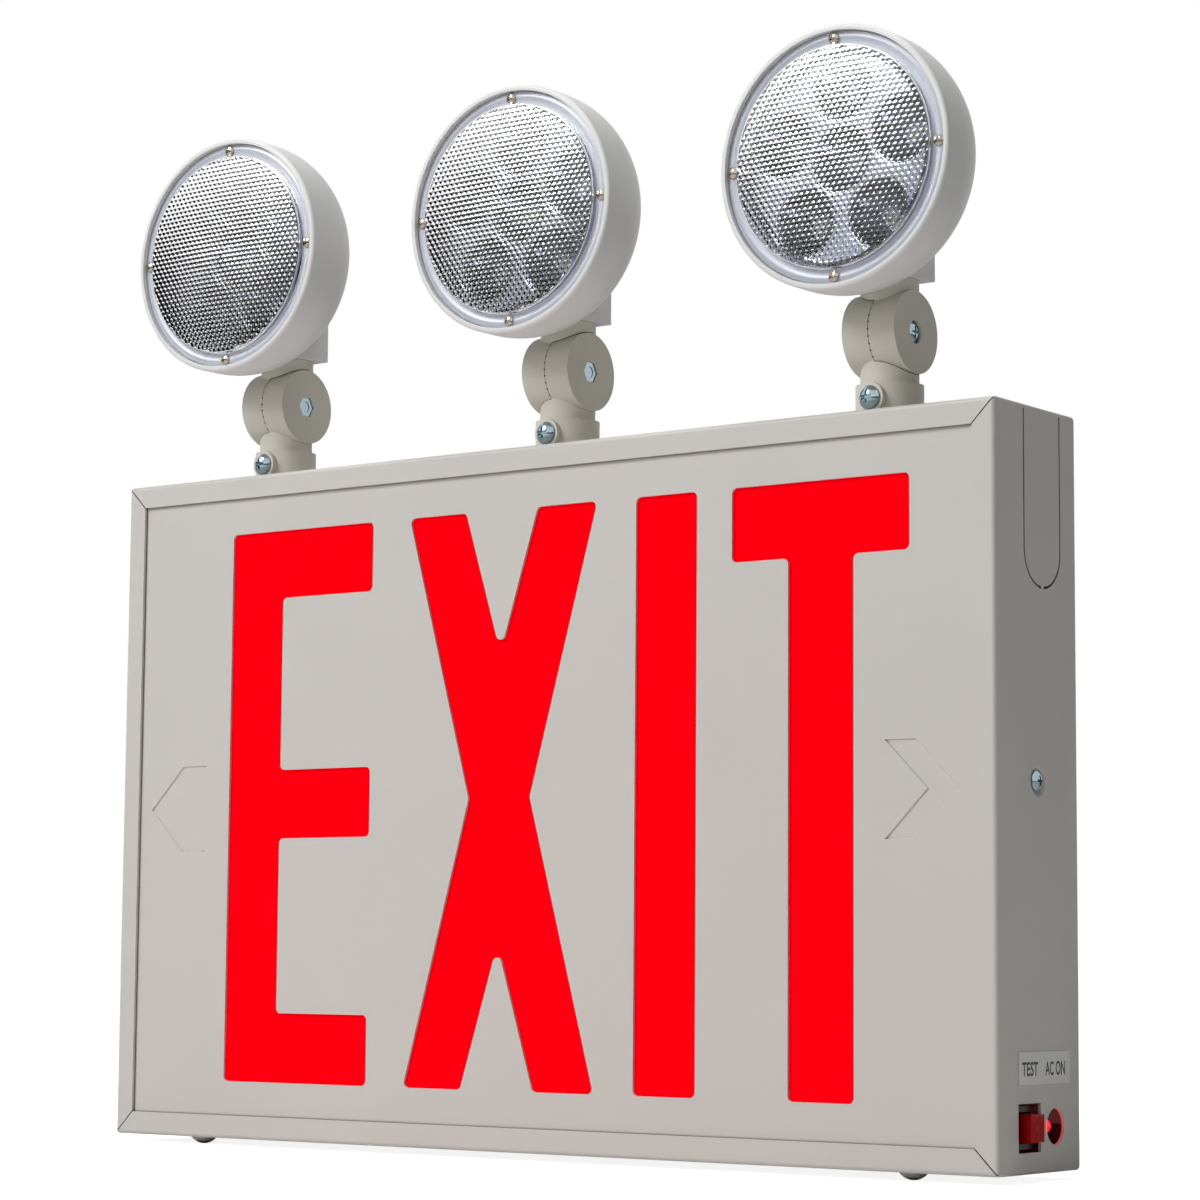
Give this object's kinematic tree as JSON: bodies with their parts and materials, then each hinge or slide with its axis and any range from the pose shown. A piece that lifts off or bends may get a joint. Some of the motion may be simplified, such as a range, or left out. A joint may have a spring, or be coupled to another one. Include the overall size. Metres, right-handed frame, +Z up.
{
  "type": "emergency exit light",
  "caption": "Flat sheet-steel wall sign with red stencil letters, a test button and pilot lamp on one end, and swivelling, tilting round lamp heads on top.",
  "frame": {"origin": "centre of the four wall fixing holes, on the plane of the wall at the back of the box", "axes": "+X to the viewer's right along the sign, towards the end with the test button; +Y into the wall; +Z up"},
  "size_m": [0.3865, 0.0663, 0.3767],
  "materials": {
    "box_paint": "satin warm-white powder coat",
    "zinc": "bright zinc plate",
    "nickel": "nickel plate",
    "plug_plastic": "fine matt, box colour",
    "red_panel": "translucent red acrylic, satin face",
    "rail_paint": "gloss white",
    "circuit_board": "green solder resist",
    "led_chip": "clear epoxy",
    "battery_wrap": "shrink sleeve",
    "transformer_iron": "varnished laminations",
    "terminal_plastic": "moulded nylon",
    "nylon": "natural nylon",
    "black_plastic": "fine matt black",
    "button_red": "satin red",
    "pilot_red": "clear red epoxy",
    "legend_film": "printed polyester film",
    "arm_plastic": "fine matt moulding",
    "lamp_plastic": "smooth satin moulding",
    "lens_clear": "clear polycarbonate",
    "reflector_bright": "vacuum-metallised plastic"
  },
  "bodies": {
    "sign_box": {"housing": "box_paint", "face_plate": "box_paint", "red_diffuser": "red_panel", "back_pan": "box_paint", "end_screws": "zinc", "hole_plugs": "plug_plastic", "top_light_rail": "rail_paint", "bottom_light_rail": "rail_paint", "top_led_strip": "circuit_board", "bottom_led_strip": "circuit_board", "sign_leds": "led_chip", "battery_pack": "battery_wrap", "battery_strap": "zinc", "charger_board": "circuit_board", "board_standoffs": "nylon", "terminal_block": "terminal_plastic", "transformer": "transformer_iron", "indicator_bracket": "zinc", "test_switch": "black_plastic", "pilot_led": "pilot_red", "pilot_led_holder": "black_plastic", "legend_plate": "legend_film", "lamp1_collar": "arm_plastic", "lamp1_lock_nut": "zinc", "lamp1_clamp_screw": "nickel", "lamp2_collar": "arm_plastic", "lamp2_lock_nut": "zinc", "lamp2_clamp_screw": "nickel", "lamp3_collar": "arm_plastic", "lamp3_lock_nut": "zinc", "lamp3_clamp_screw": "nickel"},
    "test_button": {"test_button": "button_red"},
    "lamp1_swivel_arm": {"lamp1_stem": "arm_plastic", "lamp1_pivot_nut": "zinc", "lamp1_pivot_screw": "nickel"},
    "lamp1_lamp_head": {"lamp1_neck": "arm_plastic", "lamp1_head": "lamp_plastic", "lamp1_lens": "lens_clear", "lamp1_reflector": "reflector_bright", "lamp1_led_board": "circuit_board", "lamp1_lens_screws": "nickel"},
    "lamp2_swivel_arm": {"lamp2_stem": "arm_plastic", "lamp2_pivot_nut": "zinc", "lamp2_pivot_screw": "nickel"},
    "lamp2_lamp_head": {"lamp2_neck": "arm_plastic", "lamp2_head": "lamp_plastic", "lamp2_lens": "lens_clear", "lamp2_reflector": "reflector_bright", "lamp2_led_board": "circuit_board", "lamp2_lens_screws": "nickel"},
    "lamp3_swivel_arm": {"lamp3_stem": "arm_plastic", "lamp3_pivot_nut": "zinc", "lamp3_pivot_screw": "nickel"},
    "lamp3_lamp_head": {"lamp3_neck": "arm_plastic", "lamp3_head": "lamp_plastic", "lamp3_lens": "lens_clear", "lamp3_reflector": "reflector_bright", "lamp3_led_board": "circuit_board", "lamp3_lens_screws": "nickel"}
  },
  "joints": [
    {"name": "test_press", "type": "slide", "parent": "sign_box", "child": "test_button", "axis": [-1, 0, 0], "range_m": [0, 0.002], "stiffness_N_per_m": 1500, "springref_m": -0.0008},
    {"name": "lamp1_swivel", "type": "hinge", "parent": "sign_box", "child": "lamp1_swivel_arm", "pos_m": [-0.135, -0.0275, 0.1305], "axis": [0, 0, 1], "range_deg": [-170, 170]},
    {"name": "lamp1_tilt", "type": "hinge", "parent": "lamp1_swivel_arm", "child": "lamp1_lamp_head", "pos_m": [-0.135, -0.0275, 0.1525], "axis": [1, 0, 0], "range_deg": [-60, 45]},
    {"name": "lamp2_swivel", "type": "hinge", "parent": "sign_box", "child": "lamp2_swivel_arm", "pos_m": [0, -0.0275, 0.1305], "axis": [0, 0, 1], "range_deg": [-170, 170]},
    {"name": "lamp2_tilt", "type": "hinge", "parent": "lamp2_swivel_arm", "child": "lamp2_lamp_head", "pos_m": [0, -0.0275, 0.1525], "axis": [1, 0, 0], "range_deg": [-60, 45]},
    {"name": "lamp3_swivel", "type": "hinge", "parent": "sign_box", "child": "lamp3_swivel_arm", "pos_m": [0.135, -0.0275, 0.1305], "axis": [0, 0, 1], "range_deg": [-170, 170]},
    {"name": "lamp3_tilt", "type": "hinge", "parent": "lamp3_swivel_arm", "child": "lamp3_lamp_head", "pos_m": [0.135, -0.0275, 0.1525], "axis": [1, 0, 0], "range_deg": [-60, 45]}
  ]
}
